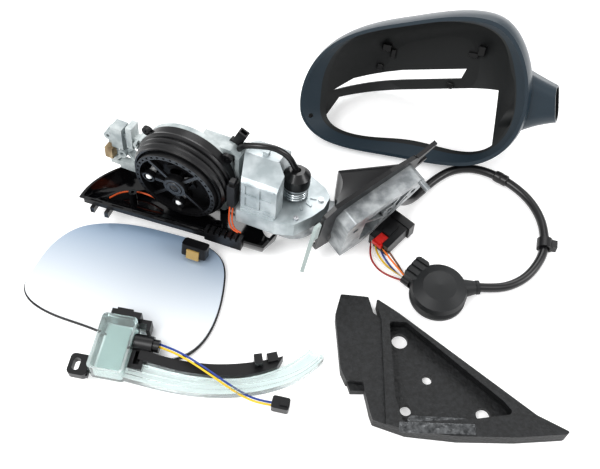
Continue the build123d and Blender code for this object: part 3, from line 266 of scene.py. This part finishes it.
LAMP_WIRE = [(-121.5, -122.5, 9.5), (-111, -127.5, 13), (-96, -136.5, 17), (-80, -146.5, 16),
             (-64, -156.5, 13),
             (-49, -164, 6), (-36, -168.5, 3), (-24, -170.5, 3.5)]
LAMP_TIP = Vector((20, -130, 0.1))
LAMP_LEAN = 3.0


def on_bench(p):
    """Bench millimetres to row metres."""
    return Vector(p) / 1000 + SHIFT


def on_lamp(p):
    """Lamp points lean with the lamp, whose block rests on the glass."""
    turn = Matrix.Rotation(math.radians(LAMP_LEAN), 3, "Y")
    moved = turn @ (Vector(p) - Vector((LAMP_TIP.x, LAMP_TIP.y, 0))) + LAMP_TIP
    return on_bench(moved)


def strand(name, points, diameter, material):
    """Round cord along a smooth spline through its control points."""
    curve = bpy.data.curves.new(name, "CURVE")
    curve.dimensions = "3D"
    curve.bevel_depth = diameter / 2
    curve.bevel_resolution = 5
    curve.resolution_u = 16
    curve.use_fill_caps = True
    s = curve.splines.new("NURBS")
    s.points.add(len(points) - 1)
    for i, p in enumerate(points):
        s.points[i].co = (*p, 1)
    s.order_u = 3
    s.use_endpoint_u = True
    curve.materials.append(material)
    o = bpy.data.objects.new(name, curve)
    bpy.context.scene.collection.objects.link(o)
    return o


def solid_box(name, size, place, turn, material):
    """Small block riding on the bench body."""
    x, y, z = (v / 2000 for v in size)
    mesh = bpy.data.meshes.new(name)
    corners = [(i * x, j * y, k * z) for i in (-1, 1) for j in (-1, 1) for k in (-1, 1)]
    sides = [(0, 1, 3, 2), (4, 6, 7, 5), (0, 4, 5, 1), (2, 3, 7, 6), (0, 2, 6, 4), (1, 5, 7, 3)]
    mesh.from_pydata(corners, [], sides)
    mesh.materials.append(material)
    o = bpy.data.objects.new(name, mesh)
    o.matrix_world = Matrix.Translation(Vector(place) / 1000) @ turn.to_matrix().to_4x4()
    bevel = o.modifiers.new("edges", "BEVEL")
    bevel.width = 0.0006
    bevel.segments = 2
    bpy.context.scene.collection.objects.link(o)
    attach(o, "bench_and_foot")
    return o


def make_bosses(mats):
    """Clips and screw bosses on the inner wall of the housing."""
    turn = OPEN_SIDE.to_track_quat("Z", "Y")
    for name, size, place in (
            ("shell_clip_left", (9, 7, 9), (90.0, 198.8, 43.2)),
            ("shell_clip_left_low", (5, 9, 6), (97.0, 197.0, 36.0)),
            ("shell_clip_right", (7, 10, 9), (183.0, 179.5, 57.5)),
            ("shell_clip_right_low", (10, 5, 6), (176.0, 181.0, 50.0)),
            ("slot_boss_right", (6, 6, 9), (155.0, 167.5, 20.0)),
            ("slot_boss_left", (6, 6, 8), (84.0, 191.5, 22.5))):
        solid_box(name, size, place, turn, mats["boss_black"])


def make_gasket_skin_sheen(mats):
    """Shiny pebbled skin on the gasket's near rim, beside the raised pad, with a painted sheen in its lighter
    colour.
    """
    turn = Matrix.Rotation(math.radians(-2.0), 3, "Z").to_quaternion()
    # thin sheet whose lighter colour is a painted sheen
    solid_box("gasket_skin_painted_sheen", (62, 9, 1.0), (110.5, -198.2, 16.2), turn, mats["pad_skin_painted_sheen"])


def tape_wrap(mats):
    """Tape turned round the cable, a little thicker than it."""
    mesh = bpy.data.meshes.new("cable_tape")
    rings, count = [(-7, 4.5), (-6, 5.4), (-1, 5.7), (1, 5.3), (6, 5.5), (7, 4.5)], 24
    turns = [2 * math.pi * i / count for i in range(count)]
    points = [(x / 1000, r * math.cos(a) / 1000, r * math.sin(a) / 1000) for x, r in rings for a in turns]
    last = (len(rings) - 1) * count
    faces = [(k + i, k + (i + 1) % count, k + count + (i + 1) % count, k + count + i)
             for k in range(0, last, count) for i in range(count)]
    ends = [tuple(range(count))[::-1], tuple(range(last, last + count))]
    mesh.from_pydata(points, [], faces + ends)
    mesh.materials.append(mats["satin_black"])
    o = bpy.data.objects.new("cable_tape", mesh)
    o.matrix_world = Matrix.Translation(on_bench((197.5, 61.5, 5.75))) @ Matrix.Rotation(math.radians(-36), 4, "Z")
    bpy.context.scene.collection.objects.link(o)
    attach(o, "bench_and_foot")
    return o


def make_cords(mats):
    """The harness cable, its six loose wires, and the lamp's two wires."""
    cable = strand("cable_sleeve", [on_bench(p) for p in CABLE], CABLE_D, mats["black_rubber"])
    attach(cable, "bench_and_foot")
    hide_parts("harness_cable")
    tape_wrap(mats)
    for i, (color, length, points) in enumerate(WIRES):
        wire = strand(f"loose_wire_{i + 1}", [on_bench(p) for p in points], WIRE_D, mats[color])
        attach(wire, "bench_and_foot")
        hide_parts("harness_wires")
    for name, side, color in (("lamp_wire_blue", 1, "wire_blue"), ("lamp_wire_yellow", -1, "wire_yellow")):
        points = [on_lamp((x + 0.4 * side, y + 1.15 * side, z)) for x, y, z in LAMP_WIRE]
        wire = strand(name + "_strand", points, WIRE_D, mats[color])
        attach(wire, "bench_and_foot")
        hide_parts(name)



# ---------------------------------------------------------------- stage
def make_stage():
    """White floor, white sky and three soft area lights."""
    floor = bpy.data.meshes.new("floor")
    half = 6.0
    corners = [(-half, -half, 0), (half, -half, 0), (half, half, 0), (-half, half, 0)]
    floor.from_pydata(corners, [], [(0, 1, 2, 3)])
    o = bpy.data.objects.new("floor", floor)
    o.location.z = -0.0002
    bpy.context.scene.collection.objects.link(o)
    white = principled("floor_white", (0.9, 0.9, 0.9), 0.7)
    bright = white.node_tree.nodes["Principled BSDF"]
    bright.inputs["Emission Color"].default_value = (1, 1, 1, 1)
    bright.inputs["Emission Strength"].default_value = 0.26
    floor.materials.append(white)
    o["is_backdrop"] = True
    world = bpy.data.worlds.new("sky")
    bpy.context.scene.world = world
    world.use_nodes = True
    world.node_tree.nodes["Background"].inputs["Color"].default_value = (1, 1, 1, 1)
    world.node_tree.nodes["Background"].inputs["Strength"].default_value = 0.72
    for name, place, size, power in (("key", (-0.7, -0.5, 1.2), 0.8, 11), ("back", (0.3, 1.1, 0.9), 0.9, 8),
                                     ("side", (1.1, -0.2, 0.7), 0.5, 4)):
        light = bpy.data.lights.new(name, "AREA")
        light.size = size
        light.energy = power
        lamp = bpy.data.objects.new(name, light)
        lamp.location = place
        lamp.rotation_euler = (-Vector(place)).to_track_quat("-Z", "Y").to_euler()
        bpy.context.scene.collection.objects.link(lamp)
        lamp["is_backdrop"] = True


def make_camera():
    """Camera on the near side, looking down at the middle of the bench."""
    elevation, distance = math.radians(58), 0.792
    cam = bpy.data.cameras.new("camera")
    cam.lens = 50
    cam.sensor_width = 36
    cam.clip_start = 0.01
    o = bpy.data.objects.new("camera", cam)
    back = Vector((0, -math.cos(elevation), math.sin(elevation)))
    o.location = SHIFT + back * distance
    o.rotation_euler = (-back).to_track_quat("-Z", "Y").to_euler()
    bpy.context.scene.collection.objects.link(o)
    bpy.context.scene.camera = o


def write_size(key, sizes):
    """Bounds of what is shown, as loaded and as finished."""
    lo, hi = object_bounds()
    sizes[key] = [[round(v, 5) for v in lo], [round(v, 5) for v in hi]]


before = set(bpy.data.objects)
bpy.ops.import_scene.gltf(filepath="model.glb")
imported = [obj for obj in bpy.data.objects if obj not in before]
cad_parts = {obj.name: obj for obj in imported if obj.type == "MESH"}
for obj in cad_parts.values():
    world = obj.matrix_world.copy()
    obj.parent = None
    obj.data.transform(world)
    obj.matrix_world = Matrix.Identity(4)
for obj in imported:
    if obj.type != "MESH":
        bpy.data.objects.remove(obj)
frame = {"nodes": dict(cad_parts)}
sizes = {}
write_size("loaded", sizes)
mats = make_materials()
make_camera()
make_stage()
paint(frame, mats)
make_cords(mats)
make_bosses(mats)
make_gasket_skin_sheen(mats)
bpy.context.scene.view_settings.view_transform = "Standard"
bpy.context.scene.view_settings.look = "Medium High Contrast"
write_size("finished", sizes)
